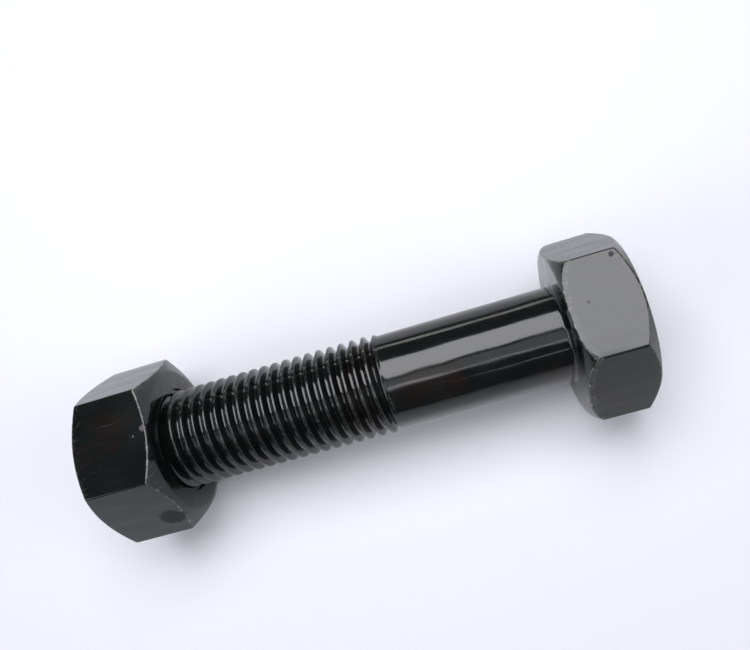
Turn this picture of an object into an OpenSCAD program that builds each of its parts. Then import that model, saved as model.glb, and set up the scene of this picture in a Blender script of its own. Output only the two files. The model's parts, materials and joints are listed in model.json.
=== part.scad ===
// Hex bolt M30 x 130, partly threaded, with its hex nut run on to the threaded end.
// It lies on its side: +X along the shank towards the threaded end, +Z up, hex flats down.
// The origin is on the axis, in the plane of the head's bearing face.

/* [Thread] */
// Nominal thread diameter
thread_d = 30; // [24:1:36]
// Thread pitch
pitch = 3.5; // [3:0.5:4]
// Flank play between bolt and nut, taken off the bolt and added to the nut, on the radius
thread_play = 0.15; // [0.12:0.01:0.2]

/* [Bolt] */
// Length from the bearing face to the threaded end
bolt_length = 130; // [120:5:160]
// Diameter of the plain shank, near the thread's pitch diameter
shank_d = 27.8; // [26.5:0.1:29]
// Length of the plain shank up to the first thread
plain_length = 50.5; // [45:0.5:60]
// Height of the head
head_height = 19.1; // [17:0.1:21]
// Radius of the fillet under the head
fillet_r = 1.2; // [0.8:0.1:2]

/* [Hexagon] */
// Width across flats of head and nut
across_flats = 46; // [44:1:50]
// Chamfer circle on the nut's faces, as a share of the width across flats
nut_chamfer_share = 0.94; // [0.9:0.01:0.97]
// Chamfer circle on top of the head, as a share of the width across flats
head_chamfer_share = 0.98; // [0.94:0.01:0.98]

/* [Nut] */
// Height of the nut
nut_height = 24; // [22:0.5:26]
// Distance between the bearing faces of head and nut
clear_length = 116.5; // [90:0.5:118]
// Thickness of the ring that forms the nut's bearing face
ring_t = 0.8; // [0.6:0.1:1.2]

/* [Hidden] */
black = [0.09, 0.1, 0.1];

steps = 36;                         // straight steps in one turn of the thread
fine = 96;                          // smoothness of the turned surfaces
hex_r = across_flats / 2;
corner_r = hex_r / cos(30);
nut_chamfer_r = hex_r * nut_chamfer_share;
nut_chamfer_slope = tan(30);
head_chamfer_r = hex_r * head_chamfer_share;
head_chamfer_slope = tan(40);
bearing_drop = 3.2;                 // how far the head's corners fall back at the bearing face
bearing_r = hex_r - 0.6;            // radius at which that fall starts

// Thread form: shares of one pitch at which the flanks start and end
flank = 0.33;
crest = 0.17;
marks = [0, flank, flank + crest, 2 * flank + crest];
thread_depth = flank * pitch / tan(30);
bolt_crest_r = thread_d / 2 - thread_play;
bolt_root_r = bolt_crest_r - thread_depth;
nut_crest_r = thread_d / 2 + thread_play;
nut_root_r = bolt_root_r + 0.35;

shank_r = shank_d / 2;
core_start = plain_length - 3;      // the threaded core starts inside the plain shank
point_r = bolt_root_r - 0.3;        // radius of the flat end inside its chamfer

countersink_r = thread_d / 2 + 0.9;
countersink_slope = tan(60);
ring_r = nut_chamfer_r - 0.7;
ring_play = 0.05;

// 0 at the root and 1 at the crest, u in pitches
function form(u) = let (v = u - floor(u))
    v < marks[1] ? v / flank :
    v < marks[2] ? 1 :
    v < marks[3] ? (marks[3] - v) / flank : 0;

// Bolt: the thread rises out of the core at the shank and is chamfered at the free end
function bolt_limit(x, r) = max(
    min(r, bolt_root_r + max(0, x - plain_length), point_r + bolt_length - x),
    x < plain_length ? bolt_root_r : 0);

// Nut: the hole opens into a countersink at each face
function nut_limit(x, r) = max(
    r,
    countersink_r - countersink_slope * (x - clear_length),
    countersink_r - countersink_slope * (clear_length + nut_height - x));

// A rod with a right-hand thread on the X axis, from x0 to x1, shaped by limit(x, r)
module threaded_rod(x0, x1, root_r, crest_r, limit) {
    first = floor(x0 / pitch) - 1;
    columns = 4 * (ceil((x1 - x0) / pitch) + 3);
    function column_x(i, j) = pitch * (first + floor(j / 4) + marks[j % 4] + i / steps);
    function point(i, j) =
        let (x = min(x1, max(x0, column_x(i, j))),
             lift = x == column_x(i, j) ? (j % 4 == 1 || j % 4 == 2 ? 1 : 0)
                                        : form(x / pitch - i / steps),
             r = limit(x, root_r + lift * (crest_r - root_r)),
             a = 360 * i / steps)
        [x, r * cos(a), r * sin(a)];
    points = [for (i = [0:steps - 1]) for (j = [0:columns - 1]) point(i, j)];
    // One turn on, a point is the one four columns further along
    function index(i, j) = i < steps
        ? i * columns + min(j, columns - 1)
        : min(j + 4, columns - 1);
    walls = [for (i = [0:steps - 1]) for (j = [0:columns - 2]) each [
        [index(i, j), index(i, j + 1), index(i + 1, j)],
        [index(i, j + 1), index(i + 1, j + 1), index(i + 1, j)]]];
    start_cap = [for (i = [0:steps - 1]) index(i, 0)];
    end_cap = [for (i = [steps - 1:-1:0]) index(i, columns - 1)];
    polyhedron(points, concat(walls, [start_cap, end_cap]), convexity = 10);
}

// A solid turned about the X axis from [x, r] points
module turned(outline) {
    rotate([0, 90, 0])
        rotate_extrude($fn = fine)
            polygon([for (p = outline) [p[1], p[0]]]);
}

// A hexagonal prism from x0 to x1 with one flat on top
module hex_prism(x0, x1) {
    translate([x0, 0, 0])
        rotate([0, 90, 0])
            rotate([0, 0, 90])
                cylinder(h = x1 - x0, r = corner_r, $fn = 6);
}

// How far the bearing face has fallen back at radius r: it curves away towards the corners
function bearing_fall(r) = bearing_drop * pow(max(0, r - bearing_r) / (corner_r - bearing_r), 2);

// The head, with a plain chamfer on top and corners that fall away towards the bearing face
module head() {
    past = corner_r + 1;
    intersection() {
        hex_prism(-head_height, 0);
        turned(concat(
            [[-head_height, 0],
             [-head_height, head_chamfer_r],
             [-head_height + (past - head_chamfer_r) * head_chamfer_slope, past],
             [-bearing_fall(past), past]],
            [for (k = [4:-1:0])
                let (r = bearing_r + (corner_r - bearing_r) * k / 4) [-bearing_fall(r), r]],
            [[0, 0]]));
    }
}

// The plain shank with its fillet under the head
module shank() {
    turned(concat(
        [[-1, 0], [-1, shank_r + fillet_r]],
        [for (a = [90:-15:0]) [fillet_r * (1 - sin(a)), shank_r + fillet_r * (1 - cos(a))]],
        [[plain_length - 0.5, shank_r], [plain_length, shank_r - 0.5], [plain_length, 0]]));
}

// Forged in one piece: head, shank and thread
module bolt() {
    color(black)
        union() {
            head();
            shank();
            threaded_rod(core_start, bolt_length, bolt_root_r, bolt_crest_r,
                function(x, r) bolt_limit(x, r));
        }
}

// Flat ring that forms the nut's bearing face; it travels with the nut
module nut_bearing_ring() {
    color(black)
        turned([
            [clear_length, countersink_r],
            [clear_length + ring_t, countersink_r],
            [clear_length + ring_t, ring_r],
            [clear_length, ring_r]]);
}

// The nut: chamfered on both faces, threaded through, with a seat for its bearing ring
module nut() {
    far = clear_length + nut_height;
    reach = corner_r + 1 - nut_chamfer_r;
    color(black)
        difference() {
            intersection() {
                hex_prism(clear_length, far);
                turned([
                    [clear_length, 0],
                    [clear_length, nut_chamfer_r],
                    [clear_length + reach * nut_chamfer_slope, corner_r + 1],
                    [far - reach * nut_chamfer_slope, corner_r + 1],
                    [far, nut_chamfer_r],
                    [far, 0]]);
            }
            threaded_rod(clear_length - 1, far + 1, nut_root_r, nut_crest_r,
                function(x, r) nut_limit(x, r));
            turned([
                [clear_length - 1, 0],
                [clear_length - 1, ring_r + ring_play],
                [clear_length + ring_t + ring_play, ring_r + ring_play],
                [clear_length + ring_t + ring_play, 0]]);
        }
}

bolt();
nut_bearing_ring();
nut();
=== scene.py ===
"""Hex bolt M30 x 130 with its nut: detailed meshes, black oxide finish, camera and studio."""
import json
import math

import bmesh
import bpy
from mathutils import Matrix, Vector


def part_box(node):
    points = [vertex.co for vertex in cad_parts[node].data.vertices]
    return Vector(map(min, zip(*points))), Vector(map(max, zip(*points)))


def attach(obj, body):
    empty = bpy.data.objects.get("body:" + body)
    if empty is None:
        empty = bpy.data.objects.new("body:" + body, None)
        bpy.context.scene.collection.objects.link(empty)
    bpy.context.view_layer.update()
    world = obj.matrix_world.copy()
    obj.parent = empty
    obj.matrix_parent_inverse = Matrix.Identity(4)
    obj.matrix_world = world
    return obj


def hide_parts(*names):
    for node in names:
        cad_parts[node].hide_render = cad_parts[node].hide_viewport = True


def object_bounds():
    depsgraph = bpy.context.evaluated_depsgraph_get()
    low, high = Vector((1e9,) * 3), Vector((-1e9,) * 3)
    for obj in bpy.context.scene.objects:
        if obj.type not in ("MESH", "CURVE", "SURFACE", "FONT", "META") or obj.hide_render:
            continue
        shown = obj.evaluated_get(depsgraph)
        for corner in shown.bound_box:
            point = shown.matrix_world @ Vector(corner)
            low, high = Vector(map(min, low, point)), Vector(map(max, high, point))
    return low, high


MM = 0.001


# ---------------------------------------------------------------- frame and sizes

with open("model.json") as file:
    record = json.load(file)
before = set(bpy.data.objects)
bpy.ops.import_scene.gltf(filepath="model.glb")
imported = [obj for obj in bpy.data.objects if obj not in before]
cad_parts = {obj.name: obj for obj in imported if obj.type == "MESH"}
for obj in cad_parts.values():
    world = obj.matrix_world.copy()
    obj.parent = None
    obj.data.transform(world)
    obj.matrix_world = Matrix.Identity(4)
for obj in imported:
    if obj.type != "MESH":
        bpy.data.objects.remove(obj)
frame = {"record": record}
cad_low, cad_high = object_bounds()
record = frame["record"]
mounts = {m["name"]: m for m in record["mounts"]}

bolt_low, bolt_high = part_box("bolt")
nut_low, nut_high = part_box("nut")
ring_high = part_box("nut_bearing_ring")[1]

head_top = bolt_low.x
bolt_end = bolt_high.x
nut_near, nut_far = nut_low.x, nut_high.x
flat_r = nut_high.z
corner_r = flat_r / math.cos(math.radians(30))
ring_r = ring_high.z
ring_back = ring_high.x
floor_z = cad_low.z - 0.05 * MM   # a hair below the flats that rest on it

shank_r = mounts["shank"]["dims"]["r_mm"] * MM
thread_r = mounts["thread"]["dims"]["r_mm"] * MM
thread_start = mounts["thread"]["pos_m"][0] - mounts["thread"]["dims"]["length_mm"] * MM
pitch = math.tau / record["behaviour"]["couplings"][0]["ratio"]

# Thread form, as in the CAD: shares of one pitch, and radii
FLANK = 0.33
CREST = 0.17
THREAD_PLAY = 0.15 * MM
thread_depth = FLANK * pitch / math.tan(math.radians(30))
bolt_crest_r = thread_r - THREAD_PLAY
bolt_root_r = bolt_crest_r - thread_depth
nut_crest_r = thread_r + THREAD_PLAY
nut_root_r = bolt_root_r + 0.35 * MM

NUT_CHAMFER_R = 0.94 * flat_r
NUT_CHAMFER_SLOPE = math.tan(math.radians(30))
HEAD_CHAMFER_R = 0.98 * flat_r
HEAD_CHAMFER_SLOPE = math.tan(math.radians(40))
RING_FALL = 0.25 * MM           # how far the nut's bearing face falls back at its rim
FILLET_R = 1.2 * MM
COUNTERSINK_R = thread_r + 0.9 * MM
CORNER_ROUND = 0.7 * MM         # rounding of the six long edges
EDGE_ROUND = 0.35 * MM          # rounding where a chamfer meets a flat
BEARING_DROP = 3.2 * MM         # how far the head's corners fall back at the bearing face
BEARING_R = 22.4 * MM           # where that fall starts
CHAMFER_BAND = 3 * MM           # stretch of a flat beside its chamfer, and beside the bearing face
BEARING_BAND = 2 * MM
BEARING_EDGE = 1.2 * MM
RIM = 0.7 * MM
point_r = bolt_root_r - 0.3 * MM


# ---------------------------------------------------------------- camera and studio

CAMERA_AT = Vector((26.3, 36.0, 190.3)) * MM
CAMERA_AIM = Vector((51.5, -17.8, 0.0)) * MM
CAMERA_UP = Vector((-0.28, -0.933, 0.227))
CAMERA_LENS = 31.7
FLOOR_HALF = 1.5
WORLD_STRENGTH = 0.095


def make_camera():
    data = bpy.data.cameras.new("camera")
    data.lens = CAMERA_LENS
    data.sensor_width = 36
    data.clip_start = 0.01
    camera = bpy.data.objects.new("camera", data)
    bpy.context.scene.collection.objects.link(camera)
    back = (CAMERA_AT - CAMERA_AIM).normalized()
    right = CAMERA_UP.cross(back).normalized()
    up = back.cross(right)
    turn = Matrix((right, up, back)).transposed()
    camera.matrix_world = Matrix.Translation(CAMERA_AT) @ turn.to_4x4()
    bpy.context.scene.camera = camera


def area_light(name, place, target, size_x, size_y, radiance, colour):
    """A softbox whose brightness is given as radiance, so its size doesn't change its look."""
    data = bpy.data.lights.new(name, "AREA")
    data.shape = "RECTANGLE"
    data.size, data.size_y = size_x, size_y
    data.energy = radiance * math.pi * size_x * size_y
    data.color = colour
    light = bpy.data.objects.new(name, data)
    bpy.context.scene.collection.objects.link(light)
    place, target = Vector(place), Vector(target)
    facing = (place - target).to_track_quat("Z", "Y").to_matrix()
    light.matrix_world = Matrix.Translation(place) @ facing.to_4x4()
    return light


def ceiling_light(name, place, size_x, size_y, radiance, turn, colour):
    """A softbox that faces straight down, turned about the vertical."""
    light = area_light(name, place, (place[0], place[1], 0), size_x, size_y, radiance, colour)
    light.matrix_world = Matrix.Translation(place) @ Matrix.Rotation(math.radians(turn), 4, "Z")


# name, place, size, radiance, turn about the vertical, colour
CEILING = (
    ("key_softbox", (0.056, -0.202, 0.5), (0.54, 0.42), 7.3, 14, (0.965, 0.965, 1.0)),
    ("front_fill", (0.05, 0.19, 0.5), (0.46, 0.24), 1.3, 14, (0.94, 0.965, 1.0)),
    ("front_card", (0.10, 0.25, 0.49), (0.06, 0.06), 4.7, 0, (1.0, 0.94, 0.96)),
    ("front_strip", (-0.02, 0.255, 0.49), (0.20, 0.016), 5.5, 14, (1, 1, 1)),
    ("edge_strip", (-0.09, 0.62, 0.5), (0.24, 0.03), 5.9, 0, (1, 1, 1)),
)
# name, place, size, radiance, colour; these face the bolt
SIDES = (
    ("horizon_strip", (0.05, -1.5, 0.29), (2.4, 0.10), 4.1, (0.95, 1.0, 0.94)),
    ("right_fill", (-0.95, 0.30, 0.60), (0.8, 0.8), 3.1, (0.94, 0.95, 1.0)),
    ("left_fill", (1.05, 0.40, 0.60), (0.8, 0.8), 3.1, (0.94, 0.95, 1.0)),
)


def make_studio():
    scene = bpy.context.scene
    scene.view_settings.view_transform = "Standard"
    world = bpy.data.worlds.new("studio")
    scene.world = world
    world.use_nodes = True
    world.node_tree.nodes["Background"].inputs["Color"].default_value = (0.88, 0.94, 1.0, 1)
    world.node_tree.nodes["Background"].inputs["Strength"].default_value = WORLD_STRENGTH
    middle = ((cad_low.x + cad_high.x) / 2, 0, 0)
    for name, place, size, radiance, turn, colour in CEILING:
        ceiling_light(name, place, *size, radiance, turn, colour)
    for name, place, size, radiance, colour in SIDES:
        area_light(name, place, middle, *size, radiance, colour)
    mesh = bpy.data.meshes.new("floor")
    half = FLOOR_HALF
    corners = ((-half, -half), (half, -half), (half, half), (-half, half))
    mesh.from_pydata([(x, y, floor_z) for x, y in corners], [], [(0, 1, 2, 3)])
    floor = bpy.data.objects.new("floor", mesh)
    scene.collection.objects.link(floor)
    material = bpy.data.materials.new("floor_paper")
    material.use_nodes = True
    shader = material.node_tree.nodes["Principled BSDF"]
    shader.inputs["Base Color"].default_value = (0.54, 0.545, 0.575, 1)
    shader.inputs["Roughness"].default_value = 0.9
    shader.inputs["Specular IOR Level"].default_value = 0.1
    mesh.materials.append(material)


# ---------------------------------------------------------------- outlines

FLAT_STEPS = 20
CORNER_STEPS = 6
ROUND_STEPS = 4


def round_hex_r(angle):
    """Radius of a hexagon with rounded corners, at an angle from one of its corners."""
    off = abs((angle + math.pi / 6) % (math.pi / 3) - math.pi / 6)
    centre = (flat_r - CORNER_ROUND) / math.cos(math.pi / 6)
    tangent = math.atan2(CORNER_ROUND * math.sin(math.pi / 6), centre + CORNER_ROUND * math.cos(math.pi / 6))
    if off < tangent:
        return centre * math.cos(off) + math.sqrt(CORNER_ROUND ** 2 - (centre * math.sin(off)) ** 2)
    return flat_r / math.cos(math.pi / 6 - off)


def hex_angles():
    """Angles once round, closer together on the rounded corners."""
    centre = (flat_r - CORNER_ROUND) / math.cos(math.pi / 6)
    tangent = math.atan2(CORNER_ROUND / 2, centre + CORNER_ROUND * math.cos(math.pi / 6))
    found = []
    for k in range(6):
        corner = k * math.pi / 3
        for i in range(CORNER_STEPS):
            found.append(corner + tangent * (2 * i / CORNER_STEPS - 1))
        start, end = corner + tangent, corner + math.pi / 3 - tangent
        for i in range(FLAT_STEPS):
            found.append(start + (end - start) * i / FLAT_STEPS)
    return found


def rounded(points):
    """An outline of (x, r, rounding, wear) corners, each replaced by a short curve of equal point count."""
    out = []
    for i, (x, r, fillet, wear) in enumerate(points):
        if not fillet or i in (0, len(points) - 1):
            out.append((x, r, wear))
            continue
        here = Vector((x, r))
        before = Vector(points[i - 1][:2]) - here
        after = Vector(points[i + 1][:2]) - here
        a = here + before.normalized() * min(fillet, before.length * 0.45)
        b = here + after.normalized() * min(fillet, after.length * 0.45)
        for k in range(ROUND_STEPS + 1):
            t = k / ROUND_STEPS
            p = a * (1 - t) ** 2 + here * 2 * t * (1 - t) + b * t ** 2
            out.append((p.x, p.y, wear * (1 - abs(2 * t - 1) * 0.6)))
    return out


def spread(start, end, count):
    """Evenly spaced inner points between two (x, r) points, with no wear."""
    return [(start[0] + (end[0] - start[0]) * i / count, start[1] + (end[1] - start[1]) * i / count, 0)
            for i in range(1, count)]


def thread_form(u):
    """Height of the bolt's thread, 0 at the root and 1 at the crest, with both rounded; u in pitches."""
    v = u - math.floor(u)
    middle = FLANK + CREST / 2
    off = abs(v - middle)
    off = min(off, 1 - off)
    flat = CREST / 2
    lift = 1 - (off - flat) / FLANK
    soft = 0.055
    top = 1 - soft * 0.5
    lift = top - soft_plus(top - lift, soft)
    return soft_plus(lift, soft)


def soft_plus(value, soft):
    """max(0, value) with a rounded corner."""
    return (value + math.sqrt(value * value + soft * soft)) / 2


# ---------------------------------------------------------------- meshes

def build_grid(name, angles, rows, shift, closed=False):
    """A closed surface from rows[i][j] = (x, r, wear) at angles[i].

    After one turn, column j of the first row continues as column shift(j) of the same outline, which
    carries the thread's helix over the seam.
    """
    count, width = len(angles), len(rows[0])
    verts, wear = [], []
    for angle, row in zip(angles, rows):
        for x, r, w in row:
            verts.append((x, r * math.cos(angle), r * math.sin(angle)))
            wear.append(w)
    faces = []
    for i in range(count):
        for j in range(width - 1 if not closed else width):
            nxt = (j + 1) % width
            if i + 1 < count:
                faces.append((i * width + j, i * width + nxt, (i + 1) * width + nxt, (i + 1) * width + j))
            else:
                faces.append((i * width + j, i * width + nxt, shift(nxt), shift(j)))
    mesh = bpy.data.meshes.new(name)
    mesh.from_pydata(verts, [], faces)
    mesh.attributes.new("wear", "FLOAT", "POINT").data.foreach_set("value", wear)
    obj = bpy.data.objects.new(name, mesh)
    bpy.context.scene.collection.objects.link(obj)
    clean(mesh)
    weighted = obj.modifiers.new("face_weighted_normals", "WEIGHTED_NORMAL")
    weighted.keep_sharp = True
    return obj


def clean(mesh):
    """Joins points that lie on each other, drops empty faces and turns every face outwards."""
    work = bmesh.new()
    work.from_mesh(mesh)
    bmesh.ops.remove_doubles(work, verts=work.verts, dist=2e-7)
    bmesh.ops.dissolve_degenerate(work, edges=work.edges, dist=1e-8)
    bmesh.ops.recalc_face_normals(work, faces=work.faces)
    work.to_mesh(mesh)
    work.free()
    for polygon in mesh.polygons:
        polygon.use_smooth = True
    mesh.set_sharp_from_angle(angle=math.radians(42))


THREAD_COLUMNS = (0, 0.05, 0.11, 0.17, 0.23, 0.28, 0.31, 0.335, 0.36, 0.415, 0.47, 0.495,
                  0.52, 0.55, 0.60, 0.66, 0.72, 0.78, 0.83, 0.92)
PER_PITCH = len(THREAD_COLUMNS)


def thread_row(angle, start, end, root, crest, limit, form):
    """(x, r, wear) along the axis at one angle, with the columns following the helix."""
    turn = angle / math.tau
    first = math.floor(start / pitch) - 1
    columns = PER_PITCH * (math.ceil((end - start) / pitch) + 3)
    row = []
    for j in range(columns):
        x = pitch * (first + j // PER_PITCH + THREAD_COLUMNS[j % PER_PITCH] + turn)
        x = min(end, max(start, x))
        lift = form(x / pitch - turn)
        row.append((x, limit(x, root + lift * (crest - root)), 0.45 * lift ** 8))
    return row


def make_bolt():
    fade = 0.9 * pitch
    tail = 8    # columns that close the free end

    def limit(x, r):
        """The thread rises out of the shank, and the free end is chamfered."""
        rise = min(1.0, max(0.0, (x - thread_start) / fade))
        r = shank_r + (r - shank_r) * (rise * rise * (3 - 2 * rise))
        return min(r, point_r + bolt_end - x)

    angles = hex_angles()
    rows = []
    for angle in angles:
        hexagon = round_hex_r(angle)
        row = [(head_top, 0, 0)]
        row += spread((head_top, 0), (head_top, HEAD_CHAMFER_R), 10)
        reach = (hexagon - HEAD_CHAMFER_R) * HEAD_CHAMFER_SLOPE

        def fall(r):
            return -BEARING_DROP * (max(0, r - BEARING_R) / (corner_r - BEARING_R)) ** 2

        row += rounded([
            (head_top, HEAD_CHAMFER_R * 0.95, 0, 0),
            (head_top, HEAD_CHAMFER_R, EDGE_ROUND, 0.5),
            (head_top + reach, hexagon, EDGE_ROUND, 0.8),
            (head_top + reach + CHAMFER_BAND, hexagon, 0, 0)])
        row += spread((head_top + reach + CHAMFER_BAND, hexagon), (fall(hexagon) - BEARING_BAND, hexagon), 6)
        row.append((fall(hexagon) - BEARING_BAND, hexagon, 0))
        row += rounded([
            (fall(hexagon) - BEARING_EDGE, hexagon, 0, 0.55),
            (fall(hexagon), hexagon, EDGE_ROUND * 1.4, 0.85),
            (fall(hexagon - RIM), hexagon - RIM, 0, 0.2)])
        face_r = hexagon - RIM
        inner_r = shank_r + FILLET_R
        for i in range(1, 16):
            r = face_r + (inner_r - face_r) * i / 16
            row.append((fall(r), r, 0))
        for i in range(9):
            a = math.radians(90 - 90 * i / 8)
            row.append((FILLET_R * (1 - math.sin(a)), shank_r + FILLET_R * (1 - math.cos(a)), 0))
        row += spread((FILLET_R, shank_r), (thread_start, shank_r), 12)
        row += thread_row(angle, thread_start, bolt_end, bolt_root_r, bolt_crest_r, limit, thread_form)
        row += spread((bolt_end, point_r), (bolt_end, 0), tail)
        row.append((bolt_end, 0, 0))
        rows.append(row)
    threads = len(thread_row(0, thread_start, bolt_end, bolt_root_r, bolt_crest_r, limit, thread_form))
    width = len(rows[0])
    begin = width - tail - threads

    def shift(j):
        return j if j < begin or j >= begin + threads else min(j + PER_PITCH, begin + threads - 1)

    return build_grid("bolt_detail", angles, rows, shift)


def make_nut():
    slope = math.tan(math.radians(60))

    def limit(x, r):
        """The hole opens into a countersink at each face."""
        return max(r, COUNTERSINK_R - slope * (x - nut_near), COUNTERSINK_R - slope * (nut_far - x))

    def form(u):
        v = u - math.floor(u)
        if v < FLANK:
            return v / FLANK
        if v < FLANK + CREST:
            return 1.0
        return max(0.0, (2 * FLANK + CREST - v) / FLANK)

    seat_r = ring_r + 0.02 * MM
    seat_x = ring_back + 0.03 * MM
    angles = hex_angles()
    rows = []
    for angle in angles:
        hexagon = round_hex_r(angle)
        reach = (hexagon - NUT_CHAMFER_R) * NUT_CHAMFER_SLOPE
        hole = thread_row(angle, seat_x, nut_far, nut_root_r, nut_crest_r, limit, form)
        outer = rounded([
            (nut_near + RING_FALL, seat_r, 0, 0),
            (nut_near + RING_FALL * 1.6, NUT_CHAMFER_R, EDGE_ROUND, 0),
            (nut_near + reach, hexagon, EDGE_ROUND, 1.05),
            (nut_near + reach + RIM, hexagon, 0, 0)])
        outer.append((nut_near + reach + CHAMFER_BAND, hexagon, 0))
        outer += spread((nut_near + reach + CHAMFER_BAND, hexagon),
                        (nut_far - reach - CHAMFER_BAND, hexagon), 6)
        outer += rounded([
            (nut_far - reach - CHAMFER_BAND, hexagon, 0, 0),
            (nut_far - reach, hexagon, EDGE_ROUND, 0.8),
            (nut_far, NUT_CHAMFER_R, EDGE_ROUND, 0.4),
            (nut_far, COUNTERSINK_R + 2 * MM, 0, 0)])
        outer += spread((nut_far, COUNTERSINK_R + 2 * MM), (nut_far, COUNTERSINK_R), 3)
        inner = [(x, r, 0) for x, r, w in reversed(hole)]
        seat = spread((seat_x, hole[0][1]), (seat_x, seat_r), 6) + [(seat_x, seat_r, 0)]
        rows.append(outer + inner + seat)
        threads = len(inner)
        begin = len(outer)

    def shift(j):
        """The hole's columns run backwards here, so the helix steps back."""
        return j if j < begin or j >= begin + threads else max(j - PER_PITCH, begin)

    return build_grid("nut_detail", angles, rows, shift, closed=True)


def make_ring():
    """The nut's bearing face, very slightly domed so that it runs on into the chamfer."""
    angles = [math.tau * k / 144 for k in range(144)]
    outline = []
    for k in range(13):
        t = k / 12
        r = COUNTERSINK_R + (ring_r - COUNTERSINK_R) * t
        outline.append((nut_near + RING_FALL * t * t, r, 0))
    outline += [(ring_back, ring_r, 0), (ring_back, COUNTERSINK_R, 0)]
    return build_grid("nut_bearing_ring_detail", angles, [outline] * len(angles), lambda j: j, closed=True)


# ---------------------------------------------------------------- materials

DARK_OXIDE = (0.0020, 0.0031, 0.0027)
RUST = (0.0096, 0.0040, 0.0037)
SCRATCHED = (0.05, 0.05, 0.05)
RUBBED = (0.034, 0.038, 0.034)
WORN_STEEL = (0.19, 0.19, 0.185)
OIL_IOR = 1.45


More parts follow.
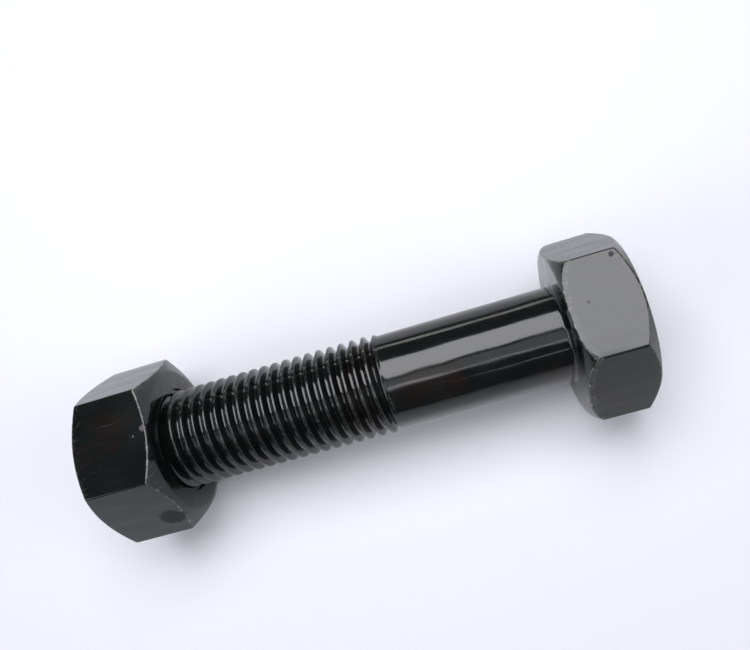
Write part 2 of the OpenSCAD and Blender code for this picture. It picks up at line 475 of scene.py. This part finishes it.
def black_oxide(name, scale, tint, marks):
    """Oiled black oxide on steel. marks: (centre, radius, colour, roughness added, raggedness)."""
    material = bpy.data.materials.new(name)
    material.use_nodes = True
    nodes, links = material.node_tree.nodes, material.node_tree.links
    shader = nodes["Principled BSDF"]
    shader.inputs["IOR"].default_value = OIL_IOR
    place = nodes.new("ShaderNodeTexCoord")

    def noise(size, detail, stretch=(1, 1, 1), rough=0.55):
        mapping = nodes.new("ShaderNodeMapping")
        mapping.inputs["Scale"].default_value = stretch
        links.new(place.outputs["Object"], mapping.inputs["Vector"])
        node = nodes.new("ShaderNodeTexNoise")
        node.inputs["Scale"].default_value = size
        node.inputs["Detail"].default_value = detail
        node.inputs["Roughness"].default_value = rough
        links.new(mapping.outputs["Vector"], node.inputs["Vector"])
        return node.outputs["Fac"]

    def ramp(value, low, high, dark, light):
        node = nodes.new("ShaderNodeMapRange")
        node.inputs["From Min"].default_value = low
        node.inputs["From Max"].default_value = high
        node.inputs["To Min"].default_value = dark
        node.inputs["To Max"].default_value = light
        links.new(value, node.inputs["Value"])
        return node.outputs["Result"]

    def mix(fac, a, b):
        node = nodes.new("ShaderNodeMix")
        node.data_type = "RGBA"
        links.new(fac, node.inputs["Factor"])
        for socket, value in ((node.inputs["A"], a), (node.inputs["B"], b)):
            if isinstance(value, tuple):
                socket.default_value = (*value, 1)
            else:
                links.new(value, socket)
        return node.outputs["Result"]

    def math_node(kind, a, b, clamp=True):
        node = nodes.new("ShaderNodeMath")
        node.operation = kind
        node.use_clamp = clamp
        for socket, value in ((node.inputs[0], a), (node.inputs[1], b)):
            if isinstance(value, (int, float)):
                socket.default_value = value
            else:
                links.new(value, socket)
        return node.outputs[0]

    def near(centre, radius, ragged):
        """1 within a ragged spot about a point of the part, 0 outside it."""
        node = nodes.new("ShaderNodeVectorMath")
        node.operation = "DISTANCE"
        node.inputs[1].default_value = centre
        links.new(place.outputs["Object"], node.inputs[0])
        off = math_node("MULTIPLY", node.outputs["Value"], 1 / radius, clamp=False)
        off = math_node("ADD", off, ramp(ragged_noise, 0.3, 0.7, -ragged, ragged), clamp=False)
        return ramp(off, 0.8, 1.1, 1, 0)

    cloud = noise(90 * scale, 5)
    rust = ramp(noise(55 * scale, 6, rough=0.65), 0.54, 0.70, 0, 1)
    grain = noise(1500, 3)
    ripple = noise(75, 2, (0.35, 1, 1))
    scratch = ramp(noise(260, 2, (0.25, 9, 9)), 0.66, 0.74, 0, 1)
    ragged_noise = noise(700, 4, rough=0.7)
    edge = nodes.new("ShaderNodeAttribute")
    edge.attribute_name = "wear"
    edge = edge.outputs["Fac"]
    margin = ramp(math_node("ADD", edge, ramp(ragged_noise, 0.35, 0.65, -0.3, 0.3), clamp=False),
                  0.25, 0.75, 0, 1)
    worn = ramp(math_node("ADD", edge, ramp(ragged_noise, 0.35, 0.65, -0.5, 0.5), clamp=False),
                0.85, 1.2, 0, 1)
    base = mix(ramp(cloud, 0.3, 0.7, 0, 1), DARK_OXIDE, tint)
    base = mix(math_node("MULTIPLY", rust, 0.75), base, RUST)
    base = mix(math_node("MULTIPLY", scratch, 0.2), base, SCRATCHED)
    base = mix(math_node("MULTIPLY", margin, 0.8), base, RUBBED)
    base = mix(worn, base, WORN_STEEL)
    rough = ramp(cloud, 0.3, 0.7, 0.07, 0.13)
    rough = math_node("ADD", rough, math_node("MULTIPLY", grain, 0.05))
    rough = math_node("ADD", rough, math_node("MULTIPLY", margin, 0.08))
    rough = math_node("ADD", rough, math_node("MULTIPLY", worn, 0.25))
    for centre, radius, colour, added, ragged in marks:
        spot = near(centre, radius, ragged)
        base = mix(spot, base, colour)
        rough = math_node("ADD", rough, math_node("MULTIPLY", spot, added))
    links.new(base, shader.inputs["Base Color"])
    links.new(rough, shader.inputs["Roughness"])
    bump = nodes.new("ShaderNodeBump")
    bump.inputs["Strength"].default_value = 0.25
    bump.inputs["Distance"].default_value = 0.00006
    height = math_node("ADD", math_node("MULTIPLY", grain, 0.35), math_node("MULTIPLY", cloud, 0.5))
    links.new(height, bump.inputs["Height"])
    wave = nodes.new("ShaderNodeBump")
    wave.inputs["Strength"].default_value = 0.5
    wave.inputs["Distance"].default_value = 0.0008
    links.new(ripple, wave.inputs["Height"])
    links.new(wave.outputs["Normal"], bump.inputs["Normal"])
    links.new(bump.outputs["Normal"], shader.inputs["Normal"])
    return material


def dress(obj, material):
    obj.data.materials.clear()
    obj.data.materials.append(material)


# ---------------------------------------------------------------- assembly

make_camera()
make_studio()

PIT = (0.004, 0.004, 0.004)
SMUDGE = (0.004, 0.006, 0.005)
BARE = (0.035, 0.030, 0.031)
# Marks on the surfaces: centre on the part in metres, radius, colour, roughness added, raggedness
BOLT_MARKS = (
    ((-0.0146, -0.0118, 0.0229), 0.00075, PIT, 0.5, 0.35),
    ((-0.0054, -0.0013, 0.0230), 0.00045, PIT, 0.25, 0.2),
)
NUT_MARKS = (
    ((0.1213, 0.0222, 0.0075), 0.0038, SMUDGE, 0.6, 0.22),
    ((0.1182, -0.0018, 0.0229), 0.0009, BARE, 0.3, 0.5),
    ((0.1212, -0.0003, 0.0230), 0.00035, BARE, 0.3, 0.3),
)
bolt_finish = black_oxide("bolt_black_oxide", 1.0, (0.0042, 0.0053, 0.0048), BOLT_MARKS)
nut_finish = black_oxide("nut_black_oxide", 0.9, (0.0039, 0.0050, 0.0047), NUT_MARKS)

bolt = make_bolt()
dress(bolt, bolt_finish)
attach(bolt, "bolt")
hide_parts("bolt")

nut = make_nut()
dress(nut, nut_finish)
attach(nut, "nut")
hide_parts("nut")

ring = make_ring()
dress(ring, nut_finish)
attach(ring, "nut_travel")
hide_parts("nut_bearing_ring")
